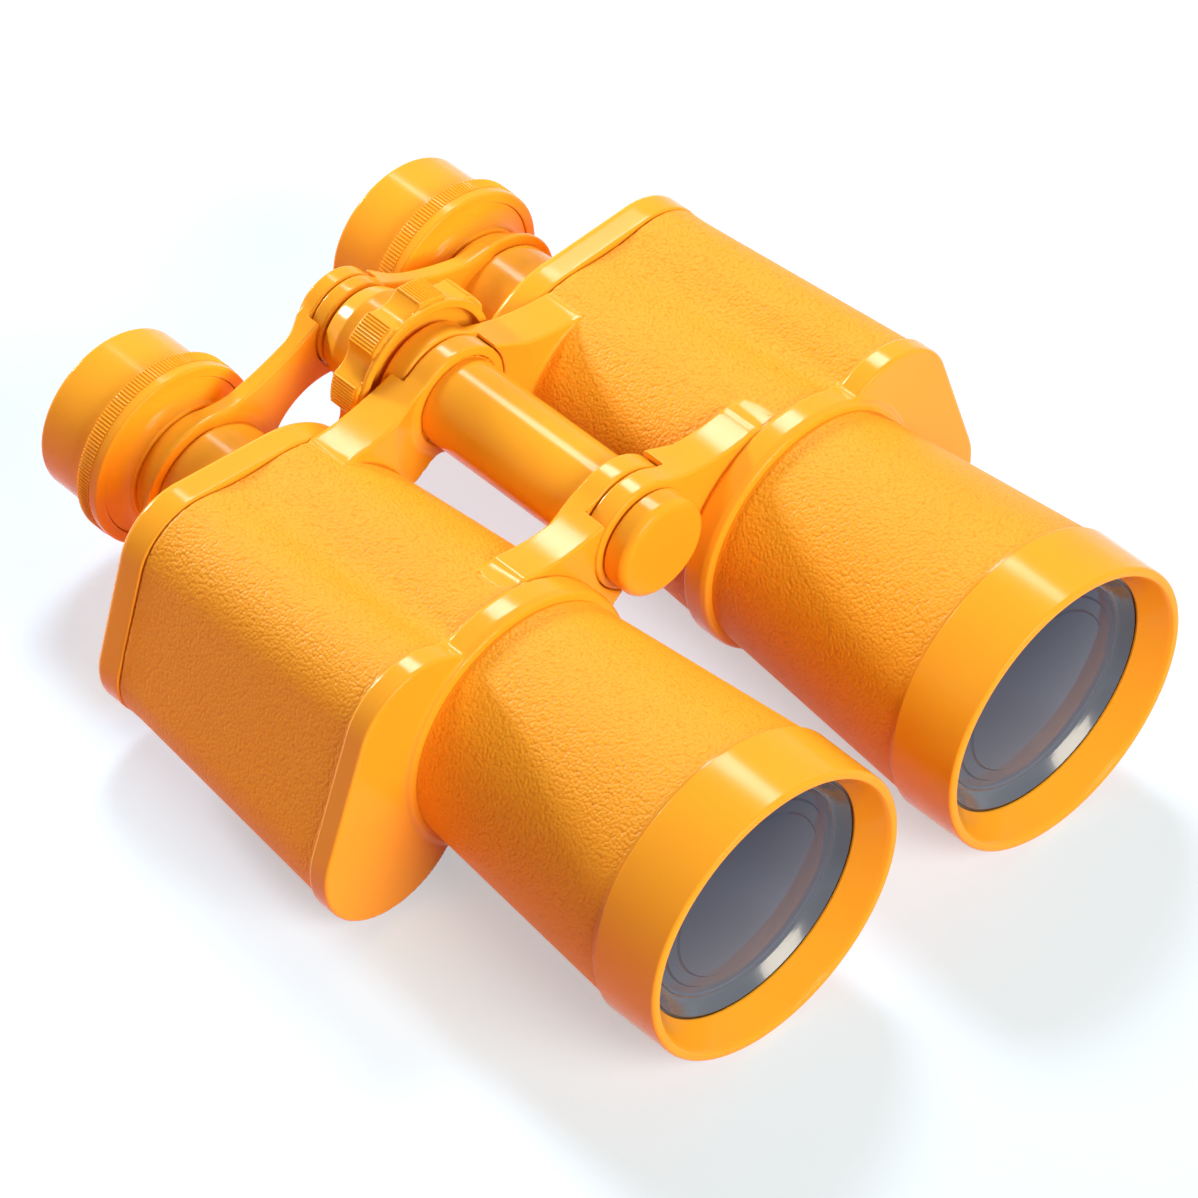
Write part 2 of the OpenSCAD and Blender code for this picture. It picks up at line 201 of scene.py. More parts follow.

# Cells of the moulded skins and steps round the turned ones
SKIN_CELL = 0.44
FINE_CELL = 0.28
TURNS = 192


def linear(hex_colour):
    """Turns an sRGB hex colour into linear red, green, blue and alpha."""
    parts = [int(hex_colour[i : i + 2], 16) / 255 for i in (1, 3, 5)]
    return [c / 12.92 if c <= 0.04045 else ((c + 0.055) / 1.055) ** 2.4 for c in parts] + [1.0]


def add(tree, kind, links=None, **settings):
    """Adds a node, sets its sockets or properties by name, and links its inputs."""
    node = tree.nodes.new(kind)
    for key, value in settings.items():
        if key in node.bl_rna.properties:
            setattr(node, key, value)
        else:
            node.inputs[key.replace("_", " ")].default_value = value
    for key, source in (links or {}).items():
        tree.links.new(source, node.inputs[key])
    return node


def new_material(name):
    mat = bpy.data.materials.new(name)
    mat.use_nodes = True
    mat.node_tree.nodes.clear()
    return mat, mat.node_tree


def per_metre(size_mm):
    """Texture scale that gives one pattern cell for each size in millimetres."""
    return 1000.0 / size_mm


# Moulded ABS in one bright orange-yellow: satin, with a faint flow mottling in the colour,
# and where the mould was grained a fine leather pebble, with painted shade deepening the colour between
# the pebbles
ABS_ORANGE = "#FBB430"
ABS_DEEP = "#F9AC2B"
ABS_PAINTED_VALLEY_SHADE = "#F5A022"
PEBBLE = 0.52
PEBBLE_DEPTH = 0.13
PEBBLE_SWAY = 0.2
SATIN = 0.16
GRAIN_ROUGH = 0.45


def moulded_abs(name, grained):
    mat, tree = new_material(name)
    where = add(tree, "ShaderNodeTexCoord").outputs["Object"]
    flow = add(tree, "ShaderNodeTexNoise", {"Vector": where}, Scale=per_metre(14), Detail=2.0)
    tint = add(tree, "ShaderNodeMix", {0: flow.outputs["Fac"]}, data_type="RGBA")
    tint.inputs[6].default_value = linear(ABS_DEEP)
    tint.inputs[7].default_value = linear(ABS_ORANGE)
    peel = add(tree, "ShaderNodeTexNoise", {"Vector": where}, Scale=per_metre(0.9), Detail=1.0)
    skin = add(tree, "ShaderNodeBump", {"Height": peel.outputs["Fac"]}, Strength=0.05, Distance=0.06 * MM)
    colour, normal = tint.outputs[2], skin.outputs["Normal"]
    shader = add(tree, "ShaderNodeBsdfPrincipled", IOR=1.53, Roughness=SATIN)
    shader.inputs["Specular IOR Level"].default_value = 0.14 if grained else 0.1
    if grained:
        mask = add(tree, "ShaderNodeAttribute", attribute_name="grain").outputs["Fac"]
        sway = add(tree, "ShaderNodeTexNoise", {"Vector": where}, Scale=per_metre(1.3), Detail=1.0)
        drift = add(tree, "ShaderNodeVectorMath", {0: sway.outputs["Color"]}, operation="SCALE",
                    Scale=PEBBLE_SWAY * MM)
        bent = add(tree, "ShaderNodeVectorMath", {0: where, 1: drift.outputs[0]}, operation="ADD")
        pebble = add(tree, "ShaderNodeTexVoronoi", {"Vector": bent.outputs[0]}, Scale=per_metre(PEBBLE))
        dome = add(tree, "ShaderNodeMath", {0: pebble.outputs["Distance"]}, operation="POWER")
        dome.inputs[1].default_value = 1.7
        depth = add(tree, "ShaderNodeMath", {0: dome.outputs[0], 1: mask}, operation="MULTIPLY")
        grain = add(tree, "ShaderNodeBump", {"Height": depth.outputs[0], "Normal": normal}, invert=True)
        grain.inputs["Strength"].default_value = 1.0
        grain.inputs["Distance"].default_value = PEBBLE_DEPTH * MM
        normal = grain.outputs["Normal"]
        # Painted shade: the colour deepens in the valleys between the pebbles
        painted_shade = add(tree, "ShaderNodeMix", {0: depth.outputs[0], 6: colour}, data_type="RGBA")
        painted_shade.inputs[7].default_value = linear(ABS_PAINTED_VALLEY_SHADE)
        colour = painted_shade.outputs[2]
        rough = add(tree, "ShaderNodeMapRange", {"Value": mask}, To_Min=SATIN, To_Max=GRAIN_ROUGH)
        tree.links.new(rough.outputs[0], shader.inputs["Roughness"])
    tree.links.new(colour, shader.inputs["Base Color"])
    tree.links.new(normal, shader.inputs["Normal"])
    shader.inputs["Subsurface Weight"].default_value = 0.15
    shader.inputs["Subsurface Radius"].default_value = (1.0, 0.4, 0.2)
    shader.inputs["Subsurface Scale"].default_value = 1.0 * MM
    add(tree, "ShaderNodeOutputMaterial", {"Surface": shader.outputs[0]})
    return mat


# Clear acrylic over a dark tube: a grey colour painted deeper toward the top as shade, with the edge
# groove painted dark as shade
def lens_acrylic(name):
    mat, tree = new_material(name)
    where = add(tree, "ShaderNodeTexCoord").outputs["Object"]
    # Painted shade: the grey deepens toward the top
    height = add(tree, "ShaderNodeSeparateXYZ", {"Vector": where}).outputs["Z"]
    painted_shade = add(tree, "ShaderNodeMapRange", {"Value": height}, From_Min=8.0 * MM, From_Max=40.0 * MM)
    tint = add(tree, "ShaderNodeMix", {0: painted_shade.outputs[0]}, data_type="RGBA")
    tint.inputs[6].default_value = linear("#6C7E9C")
    tint.inputs[7].default_value = linear("#36425C")
    # Painted shade: the edge groove is coloured dark and the bevel partly so; the same mark sets the
    # bevel's polish
    rim = add(tree, "ShaderNodeAttribute", attribute_name="rim").outputs["Fac"]
    edge = add(tree, "ShaderNodeMix", {0: rim, 6: tint.outputs[2]}, data_type="RGBA")
    edge.inputs[7].default_value = linear("#16191E")
    polish = add(tree, "ShaderNodeMapRange", {"Value": rim}, From_Max=BEVEL_MARK)
    haze = add(tree, "ShaderNodeTexNoise", {"Vector": where}, Scale=per_metre(9), Detail=2.0)
    rough = add(tree, "ShaderNodeMapRange", {"Value": haze.outputs["Fac"]}, To_Min=0.05, To_Max=0.08)
    shader = add(tree, "ShaderNodeBsdfPrincipled",
                 {"Base Color": edge.outputs[2], "Roughness": rough.outputs[0]}, IOR=1.49)
    shader.inputs["Transmission Weight"].default_value = 0.25
    shader.inputs["Specular IOR Level"].default_value = 0.06
    shader.inputs["Coat Roughness"].default_value = 0.2
    tree.links.new(polish.outputs[0], shader.inputs["Coat Weight"])
    add(tree, "ShaderNodeOutputMaterial", {"Surface": shader.outputs[0]})
    return mat


# Matt black polystyrene inside the barrels, with a fine spark texture
def black_liner(name):
    mat, tree = new_material(name)
    where = add(tree, "ShaderNodeTexCoord").outputs["Object"]
    spark = add(tree, "ShaderNodeTexNoise", {"Vector": where}, Scale=per_metre(0.5), Detail=2.0)
    skin = add(tree, "ShaderNodeBump", {"Height": spark.outputs["Fac"]}, Strength=0.3, Distance=0.1 * MM)
    shade = add(tree, "ShaderNodeMix", {0: spark.outputs["Fac"]}, data_type="RGBA")
    shade.inputs[6].default_value = linear("#1B1C1F")
    shade.inputs[7].default_value = linear("#26272B")
    shader = add(tree, "ShaderNodeBsdfPrincipled", {"Base Color": shade.outputs[2]}, IOR=1.59)
    tree.links.new(skin.outputs["Normal"], shader.inputs["Normal"])
    shader.inputs["Roughness"].default_value = 0.45
    add(tree, "ShaderNodeOutputMaterial", {"Surface": shader.outputs[0]})
    return mat


# Drawn steel rod with fine scratches along its length
def drawn_steel(name):
    mat, tree = new_material(name)
    where = add(tree, "ShaderNodeTexCoord").outputs["Object"]
    along = add(tree, "ShaderNodeMapping", {"Vector": where}, vector_type="POINT")
    along.inputs["Scale"].default_value = (1.0, 0.04, 1.0)
    lines = add(tree, "ShaderNodeTexNoise", {"Vector": along.outputs[0]}, Scale=per_metre(0.4), Detail=3.0)
    rough = add(tree, "ShaderNodeMapRange", {"Value": lines.outputs["Fac"]}, To_Min=0.22, To_Max=0.42)
    shader = add(tree, "ShaderNodeBsdfPrincipled", {"Roughness": rough.outputs[0]}, Metallic=1.0)
    shader.inputs["Base Color"].default_value = linear("#C9C9CC")
    add(tree, "ShaderNodeOutputMaterial", {"Surface": shader.outputs[0]})
    return mat


MATERIALS = {
    "grained_abs": moulded_abs("grained_abs", True),
    "smooth_abs": moulded_abs("satin_abs", False),
    "lens_glass": lens_acrylic("clear_acrylic_lens"),
    "black_plastic": black_liner("black_polystyrene"),
    "axle_steel": drawn_steel("drawn_steel"),
}


def finish_piece(name, verts, faces, normals, slot, body, nodes, mark=None):
    """Makes the object from millimetre points, with its shading normals, finish, body and node."""
    mesh = bpy.data.meshes.new(name)
    loops = faces if isinstance(faces, list) else faces.tolist()
    mesh.from_pydata((np.asarray(verts) * MM).tolist(), [], loops)
    mesh.validate()
    if mark is not None:
        layer = mesh.attributes.new(mark[0], "FLOAT", "POINT")
        layer.data.foreach_set("value", np.asarray(mark[1], np.float32))
    mesh.polygons.foreach_set("use_smooth", [True] * len(mesh.polygons))
    mesh.normals_split_custom_set_from_vertices(np.asarray(normals).tolist())
    mesh.materials.append(MATERIALS[slot])
    piece = bpy.data.objects.new(name, mesh)
    bpy.context.scene.collection.objects.link(piece)
    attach(piece, body)
    if nodes:
        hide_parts(*nodes)
    return piece


# Turned pieces: a profile of radius, station and corner radius
PLAIN_CORNER = 0.12
CORNER_SHARE = 0.45
NEARLY_STRAIGHT = math.radians(88.5)
ARC_STEP = math.radians(14)
ON_AXIS = 1e-6


def softened(profile, closed):
    """Points and outward normals of a profile whose corners are rounded."""
    points = [np.array(p[:2], float) for p in profile]
    radii = [p[2] if len(p) > 2 else PLAIN_CORNER for p in profile]
    count = len(points)
    out = []
    for i, corner in enumerate(points):
        if not closed and i in (0, count - 1):
            other = points[1] if i == 0 else points[-2]
            way = (other - corner) if i == 0 else (corner - other)
            way = way / np.linalg.norm(way)
            out.append((corner, np.array([way[1], -way[0]])))
            continue
        before = points[i - 1] - corner
        after = points[(i + 1) % count] - corner
        reach = CORNER_SHARE * min(np.linalg.norm(before), np.linalg.norm(after))
        before = before / np.linalg.norm(before)
        after = after / np.linalg.norm(after)
        half = math.acos(max(-1.0, min(1.0, float(before @ after)))) / 2
        n_in = np.array([-before[1], before[0]])
        n_out = np.array([after[1], -after[0]])
        if half > NEARLY_STRAIGHT:
            out.append((corner, (n_in + n_out) / np.linalg.norm(n_in + n_out)))
            continue
        cut = min(radii[i] / math.tan(half), reach)
        radius = cut * math.tan(half)
        middle = (before + after) / np.linalg.norm(before + after)
        centre = corner + middle * radius / math.sin(half)
        turn = math.pi - 2 * half
        steps = max(2, int(math.ceil(turn / ARC_STEP)))
        for k in range(steps + 1):
            n = n_in * math.sin(turn * (1 - k / steps)) + n_out * math.sin(turn * k / steps)
            n = n / np.linalg.norm(n)
            side = 1.0 if n_in @ middle < 0 else -1.0
            out.append((centre + side * n * radius, n))
    return out


def turned(name, profile, centre, slot, body, nodes, closed=True, mark=None):
    """Spins a profile round an axis along the length; a mark names and chooses places of its skin."""
    loop = zip(profile, profile[1:] + profile[:1])
    if sum(a[0] * b[1] - b[0] * a[1] for a, b in loop) < 0:
        profile = profile[::-1]
    ring = softened(profile, closed)
    angles = np.linspace(0, 2 * math.pi, TURNS, endpoint=False)
    cos, sin = np.cos(angles), np.sin(angles)
    verts, normals, starts, marks = [], [], [], []
    for (r, s), n in ring:
        starts.append(len(verts))
        turns = TURNS if r > ON_AXIS else 1
        pole = (0.0, math.copysign(1, n[1]), 0.0)
        for j in range(turns):
            verts.append((centre[0] + r * cos[j], s - TOTAL_LEN / 2, centre[1] + r * sin[j]))
            normals.append((n[0] * cos[j], n[1], n[0] * sin[j]) if turns > 1 else pole)
            marks.append(float(mark[1](r, s, n)) if mark else 0.0)
    faces = []
    size = len(ring)
    for i in range(size if closed else size - 1):
        a, b = i, (i + 1) % size
        pole_a = ring[a][0][0] <= ON_AXIS
        pole_b = ring[b][0][0] <= ON_AXIS
        if pole_a and pole_b:
            continue
        for j in range(TURNS):
            k = (j + 1) % TURNS
            quad = [starts[a] + (0 if pole_a else j), starts[b] + (0 if pole_b else j),
                    starts[b] + (0 if pole_b else k), starts[a] + (0 if pole_a else k)]
            if pole_a:
                quad = [quad[0], quad[1], quad[2]]
            elif pole_b:
                quad = [quad[0], quad[1], quad[3]]
            faces.append(quad)
    marked = (mark[0], marks) if mark else None
    return finish_piece(name, verts, faces, normals, slot, body, nodes, marked)


# Moulded pieces: distance fields, positive outside, meshed by a net of cells
SLOPE_STEP = 0.03
PULLS = 3
PULL_MOST = 0.4


def lerp(a, b, t):
    return a + (b - a) * t


def soft_min(a, b, k):
    h = np.maximum(k - np.abs(a - b), 0.0) / k
    return np.minimum(a, b) - h * h * k / 4


def soft_max(a, b, k):
    return -soft_min(-a, -b, k)


def raised(flat, s, start, stop, edge):
    """Runs a flat outline from one station to another, with rounded edges."""
    a = flat + edge
    b = np.abs(s - (start + stop) / 2) - (stop - start) / 2 + edge
    return np.minimum(np.maximum(a, b), 0.0) + np.hypot(np.maximum(a, 0.0), np.maximum(b, 0.0)) - edge


def capsule(u, z, a, b, inset=0.0):
    """Outline of two circles and their outer tangents; the circles may change along the length."""
    ra, rb = a[2] - inset, b[2] - inset
    bu, bz = b[0] - a[0], b[1] - a[1]
    pu, pz = u - a[0], z - a[1]
    h = bu * bu + bz * bz
    qx = np.abs((pu * bz - pz * bu) / h)
    qy = (pu * bu + pz * bz) / h
    step = ra - rb
    flat = np.sqrt(h - step * step)
    k = flat * qy - step * qx
    n = qx * qx + qy * qy
    near = np.sqrt(h * n) - ra
    far = np.sqrt(np.maximum(h * (n + 1 - 2 * qy), 0.0)) - rb
    side = flat * qx + step * qy - ra
    return np.where(k < 0, near, np.where(k > flat, far, side))


def polygon(u, z, points):
    """Outline with straight sides."""
    points = np.array(points, float)
    best = None
    inside = None
    for i, a in enumerate(points):
        b = points[i - 1]
        eu, ez = b - a
        wu, wz = u - a[0], z - a[1]
        t = np.clip((wu * eu + wz * ez) / (eu * eu + ez * ez), 0, 1)
        near = (wu - eu * t) ** 2 + (wz - ez * t) ** 2
        best = near if best is None else np.minimum(best, near)
        crosses = ((z >= a[1]) != (z >= b[1])) & ((wu * ez < wz * eu) == (ez > 0))
        inside = crosses if inside is None else inside ^ crosses
    return np.where(inside, -1.0, 1.0) * np.sqrt(best)


def net(field, low, high, cell):
    """Quads round the surface of a field, pulled onto it, with the field's own normals."""
    axes = [np.arange(a, b + cell, cell) for a, b in zip(low, high)]
    u, s, z = np.meshgrid(*axes, indexing="ij", sparse=True)
    d = np.broadcast_to(field(u, s, z), [len(a) for a in axes]).astype(np.float32)
    solid = d < 0
    cells = tuple(n - 1 for n in d.shape)
    total = np.zeros(cells + (3,), np.float32)
    hits = np.zeros(cells, np.float32)
    edges = []
    for axis in range(3):
        head = [slice(None)] * 3
        tail = [slice(None)] * 3
        head[axis] = slice(0, -1)
        tail[axis] = slice(1, None)
        d0, d1 = d[tuple(head)], d[tuple(tail)]
        cross = solid[tuple(head)] != solid[tuple(tail)]
        part = np.where(cross, d0 / np.where(cross, d0 - d1, 1.0), 0.0)
        edges.append(cross)
        others = [k for k in range(3) if k != axis]
        for p in (0, 1):
            for q in (0, 1):
                cut = [slice(None)] * 3
                cut[others[0]] = slice(p, cells[others[0]] + p)
                cut[others[1]] = slice(q, cells[others[1]] + q)
                mask = cross[tuple(cut)]
                total[..., axis] += np.where(mask, part[tuple(cut)], 0.0)
                total[..., others[0]] += p * mask
                total[..., others[1]] += q * mask
                hits += mask
    live = hits > 0
    index = np.full(cells, -1, np.int64)
    index[live] = np.arange(int(live.sum()))
    places = np.argwhere(live) + total[live] / hits[live][:, None]
    points = np.array(low) + places * cell
    quads = []
    for axis in range(3):
        b, c = (axis + 1) % 3, (axis + 2) % 3
        at = np.argwhere(edges[axis])
        at = at[(at[:, b] > 0) & (at[:, b] < cells[b]) & (at[:, c] > 0) & (at[:, c] < cells[c])]
        corners = []
        for db, dc in ((1, 1), (0, 1), (0, 0), (1, 0)):
            shift = at.copy()
            shift[:, b] -= db
            shift[:, c] -= dc
            corners.append(index[tuple(shift.T)])
        quad = np.stack(corners, 1)
        outward = solid[tuple(at.T)]
        quads.append(np.where(outward[:, None], quad, quad[:, ::-1]))
    quads = np.concatenate(quads)

    def slope(p):
        g = np.empty_like(p)
        for k in range(3):
            step = np.zeros(3)
            step[k] = SLOPE_STEP
            g[:, k] = (field(*(p + step).T) - field(*(p - step).T)) / (2 * SLOPE_STEP)
        return g

    for _ in range(PULLS):
        g = slope(points)
        move = field(*points.T)[:, None] * g / np.maximum((g * g).sum(1), 0.25)[:, None]
        points = points - np.clip(move, -PULL_MOST * cell, PULL_MOST * cell)
    normals = slope(points)
    normals = normals / np.maximum(np.linalg.norm(normals, axis=1), 1e-6)[:, None]
    return points, quads, normals


def placed(points, quads, normals, sign, centre, height):
    """Moves side places (outward, station, height) into the frame; the right side is mirrored."""
    flip = np.array([sign, 1.0, 1.0])
    at = np.array([centre, -TOTAL_LEN / 2, height])
    return points * flip + at, quads if sign > 0 else quads[:, ::-1], normals * flip


# Housing with its valley that fades into the flat top of the rear cover
FILL_TURNS = np.radians(np.concatenate([np.arange(0, 360, 6), np.arange(60, 121, 1.5),
                                        np.arange(240, 301, 1.5)]))
FILL_SINK = 0.2
COVER_SINK = 0.4
VALLEY_BLEND = 3.0
FILL_BLEND = 1.6
PLATE_BLEND = 0.7
COLLAR_BLEND = 0.9
PLATE_EDGE = 0.55
COLLAR_EDGE = 0.5
SHELL_EDGE = 0.3
ARM_EDGE = 0.4
ARM_BLEND = 0.6
FINE_BLEND = 0.3
HOLLOW_BLEND = 0.2
SHARP = 0.05
BODY_BOX = ((-39.2, 53.0, -24.2), (38.2, 107.0, 26.0))
# Grain starts this far from the smooth plate and arms, and is full after a short fade
GRAIN_MARGIN = 0.15
GRAIN_FADE = 0.5


def meet(r, c, side):
    """Point where the round core and a circle of the lobe cross."""
    reach = math.hypot(c[0], c[1])
    spread = math.acos((r * r + reach * reach - c[2] * c[2]) / (2 * r * reach))
    way = math.atan2(c[1], c[0]) + side * spread
    return np.array([r * math.cos(way), r * math.sin(way)])


def fill_field(u, z, t):
    """Flat fill that grows out of the valley until it spans the cover's outline."""
    r = COLLAR_R - PROUD - FILL_SINK
    top = LOBE_TOP - np.array([0, 0, PROUD + FILL_SINK])
    low = LOBE_LOW - np.array([0, 0, PROUD + FILL_SINK])
    front = [np.zeros(2), meet(r, top, 1), top[:2], low[:2], meet(r, low, -1)]
    best = None
    for a in FILL_TURNS:
        n = np.array([math.cos(a), math.sin(a)])
        h0 = max(float(n @ p) for p in front)
        h1 = max(float(n @ c[:2]) + c[2] for c in (TAIL_CORE, TAIL_TOP, TAIL_LOW))
        far = u * n[0] + z * n[1] - lerp(h0, h1 - COVER_PROUD - COVER_SINK, t)
        best = far if best is None else np.maximum(best, far)
    return best


def shell_field(u, s, z):
    """Grained skin, from the front plate to the parting line of the cover."""
    t = np.clip((s - SHELL_AT) / (COVER_AT - SHELL_AT), 0.0, 1.0)
    inset = lerp(PROUD, COVER_PROUD, t)
    core = np.hypot(u, z) - lerp(COLLAR_R - PROUD, TAIL_R - COVER_PROUD, t)
    top = [lerp(LOBE_TOP[k], TAIL_TOP[k], t) for k in range(3)]
    low = [lerp(LOBE_LOW[k], TAIL_LOW[k], t) for k in range(3)]
    flat = soft_min(core, capsule(u, z, top, low, inset), VALLEY_BLEND)
    flat = soft_min(flat, fill_field(u, z, t), FILL_BLEND)
    return raised(flat, s, SHELL_AT - 1.0, COVER_AT - PARTING, SHELL_EDGE)


def band_field(u, s, z):
    """Smooth front plate and the collar that stands forward of it."""
    collar = np.hypot(u, z) - COLLAR_R
    outline = soft_min(collar, capsule(u, z, LOBE_TOP, LOBE_LOW), PLATE_BLEND)
    plate = raised(outline, s, PLATE_AT, SHELL_AT, PLATE_EDGE)
    return soft_min(plate, raised(collar, s, COLLAR_AT, SHELL_AT, COLLAR_EDGE), COLLAR_BLEND)


def hollowed(outline, u, z, hollow):
    """Takes a circle, placed by its reach from the hinge axis, out of an arm's outline."""
    reach, height, radius = hollow
    return soft_max(outline, radius - np.hypot(u + HALF_SPAN - reach, z - height), HOLLOW_BLEND)


def blunt_tip(u, z, reach):
    """Room above the hinge that ends an arm's upper edge blunt, clear of the other half's knuckle."""
    return np.maximum(u + HALF_SPAN - reach, HINGE_RISE + 2.0 - z)


def arm_field(u, s, z, side):
    """Front and rear hinge arms with their knuckles, clear of the other half's knuckles."""
    own, other = KNUCKLES[side], KNUCKLES["left" if side == "right" else "right"]
    hinge = np.hypot(u + HALF_SPAN, z - HINGE_RISE)
    front = hollowed(polygon(u, z, FRONT_ARM), u, z, FRONT_HOLLOW)
    rear = hollowed(polygon(u, z, REAR_ARM), u, z, REAR_HOLLOW)
    foot = np.maximum(np.abs(u - FOOT_AT[0]) - FOOT_HALF[0], np.abs(z - FOOT_AT[1]) - FOOT_HALF[1])
    flare = WEB_FLARE * np.clip((hinge - KNUCKLE_R - 0.4) / 4.0, 0.0, 1.0)
    web = np.minimum(raised(front, s, FRONT_WEB[0], FRONT_WEB[1] - flare, ARM_EDGE),
                     raised(rear, s, REAR_WEB[0] - flare, REAR_WEB[1], ARM_EDGE))
    foot = raised(foot, s, FRONT_WEB[0] + 0.3, FRONT_WEB[1] - 1.6, FINE_BLEND)
    web = soft_min(web, foot, FINE_BLEND)
    room = np.minimum(hinge - KNUCKLE_R - FREE, blunt_tip(u, z, WEB_TIP))
    for a, b in (other["front"], other["rear"]):
        web = soft_max(web, -raised(room, s, a - SLIT, b + SLIT, SHARP), FINE_BLEND)
    arms = web
    for a, b in (own["front"], own["rear"]):
        arms = soft_min(arms, raised(hinge - KNUCKLE_R, s, a, b, ARM_EDGE), 0.25)
    tube_end = KNUCKLES["right"]["rear"][0] + TUBE_GAP
    seat = raised(hinge - TUBE_R - TUBE_GAP, s, REAR_WEB[0] - 5, tube_end, 0.1)
    return soft_max(arms, -seat, FINE_BLEND)


def body_field(side):
    def field(u, s, z):
        skin = soft_min(shell_field(u, s, z), band_field(u, s, z), FINE_BLEND)
        skin = soft_min(skin, arm_field(u, s, z, side), ARM_BLEND)
        bore = raised(np.hypot(u, z) - HOUSING_BORE_R, s, COLLAR_AT - 3, COLLAR_AT + 12, SHARP)
        return np.maximum(skin, -bore)

    return field


def make_body(side, sign):
    points, quads, normals = net(body_field(side), *BODY_BOX, SKIN_CELL)
    smooth = np.minimum(band_field(*points.T), arm_field(*points.T, side))
    apart = smooth - shell_field(*points.T)
    grain = np.clip((apart - GRAIN_MARGIN) / GRAIN_FADE, 0.0, 1.0)
    verts, faces, normals = placed(points, quads, normals, sign, sign * HALF_SPAN, AXIS_HEIGHT)
    finish_piece(f"{side}_housing", verts, faces, normals, "grained_abs", f"{side}_half", [f"{side}_body"],
                 ("grain", grain))


# Rear cover: rounded plate with a lip inside the housing, and the guide tube of the sleeve
COVER_ROUND = 1.5
COVER_LIP = 2.0
LIP_INSET = 1.6
COVER_BOX = ((-18.4, 102.2, -19.4), (33.4, 122.0, 19.6))


def cover_field(u, s, z):
    flat = np.minimum(capsule(u, z, TAIL_CORE, TAIL_TOP), capsule(u, z, TAIL_TOP, TAIL_LOW))
    flat = np.minimum(flat, capsule(u, z, TAIL_LOW, TAIL_CORE))
    flat = np.minimum(flat, polygon(u, z, [TAIL_CORE[:2], TAIL_LOW[:2], TAIL_TOP[:2]]))
    plate = raised(flat, s, COVER_AT - 6, COVER_END, COVER_ROUND)
    plate = soft_max(plate, COVER_AT + 0.1 - s, 0.4)
    lip = raised(flat + LIP_INSET, s, COVER_AT - COVER_LIP, COVER_AT + COVER_LIP, 0.2)
    tube = raised(np.hypot(u, z) - GUIDE_R, s, COVER_AT, GUIDE_END, 0.45)
    solid = soft_min(np.minimum(plate, lip), tube, 0.9)
    return soft_max(solid, SLEEVE_R + 0.06 - np.hypot(u, z), 0.25)


def make_cover(side, sign):
    points, quads, normals = net(cover_field, *COVER_BOX, SKIN_CELL)
    verts, faces, normals = placed(points, quads, normals, sign, sign * HALF_SPAN, AXIS_HEIGHT)
    finish_piece(f"{side}_back_cover", verts, faces, normals, "smooth_abs", f"{side}_half",
                 [f"{side}_rear_cover"])


# Bridge arm: conical collar on the sleeve, swept arm that thickens toward the hub, hub
BRIDGE_BOX = ((-37.2, 120.6, -13.0), (13.0, 127.6, 23.0))
BRIDGE_EDGE = 0.5
HUB_EDGE = 0.25
HUB_BLEND = 0.4
COLLAR_ROUND = 0.4
BRIDGE_COLLAR_BLEND = 2.4


def bridge_field(side):
    own, other = HUBS[side], HUBS["left" if side == "right" else "right"]

    def field(u, s, z):
        axis = np.hypot(u, z)
        hinge = np.hypot(u + HALF_SPAN, z - HINGE_RISE)
        ring = polygon(axis, s, BRIDGE_COLLAR) - COLLAR_ROUND
        web = hollowed(polygon(u, z, BRIDGE_ARM), u, z, BRIDGE_HOLLOW)
        web = hollowed(web, u, z, BRIDGE_UNDER)
        near_hub = np.clip((-17.0 - u) / 5.0, 0.0, 1.0)
        web = raised(web, s, BRIDGE[0], BRIDGE[1] + BRIDGE_FLARE * near_hub ** 2, BRIDGE_EDGE)
        room = np.minimum(hinge - HUB_R - FREE, blunt_tip(u, z, BRIDGE_TIP))
        web = soft_max(web, -raised(room, s, other[0] - HUB_SLIT, other[1] + HUB_SLIT, SHARP), FINE_BLEND)
        arm = soft_min(web, raised(hinge - HUB_R, s, *own, HUB_EDGE), HUB_BLEND)
        arm = soft_min(arm, ring, BRIDGE_COLLAR_BLEND)
        arm = np.maximum(arm, SLEEVE_R + 0.02 - axis)
        return np.maximum(arm, SPINDLE_R + 0.05 - hinge)

    return field


def make_bridge(side, sign):
    points, quads, normals = net(bridge_field(side), *BRIDGE_BOX, FINE_CELL)
    verts, faces, normals = placed(points, quads, normals, sign, sign * HALF_SPAN, AXIS_HEIGHT)
    finish_piece(f"{side}_swept_arm", verts, faces, normals, "smooth_abs", f"{side}_eyepiece_set",
                 [f"{side}_bridge_arm"])


# Focus wheel
WHEEL_BOX = ((-14.4, 104.8, -14.4), (14.4, 121.0, 14.4))


def wheel_field(u, s, z):
    axis = np.hypot(u, z)
    step = 2 * math.pi / LOBES
    turn = np.arctan2(z, u) - WHEEL_PHASE
    turn = turn - step * np.round(turn / step)
    scallop = np.hypot(axis * np.cos(turn) - SCALLOP_REACH, axis * np.sin(turn)) - SCALLOP_R
    rim = raised(axis - WHEEL_R, s, WHEEL_AT + 0.7, WHEEL_END, 0.35)
    rim = soft_max(rim, -scallop, 0.5)
    flange = raised(axis - WHEEL_R + 0.6, s, WHEEL_AT, WHEEL_AT + FLANGE_LEN, 0.3)
    dish = raised(axis - DISH_R, s, WHEEL_AT - 2, WHEEL_AT + DISH_DEPTH, 0.3)
    boss = polygon(axis, s, BOSS) - BOSS_ROUND
    solid = soft_min(np.minimum(rim, flange), boss, 0.5)
    solid = soft_max(solid, -dish, FINE_BLEND)
    socket = raised(axis - SPINDLE_R - 0.05, s, *SOCKET, SHARP)
    return np.maximum(solid, -np.minimum(socket, axis - AXLE_R))


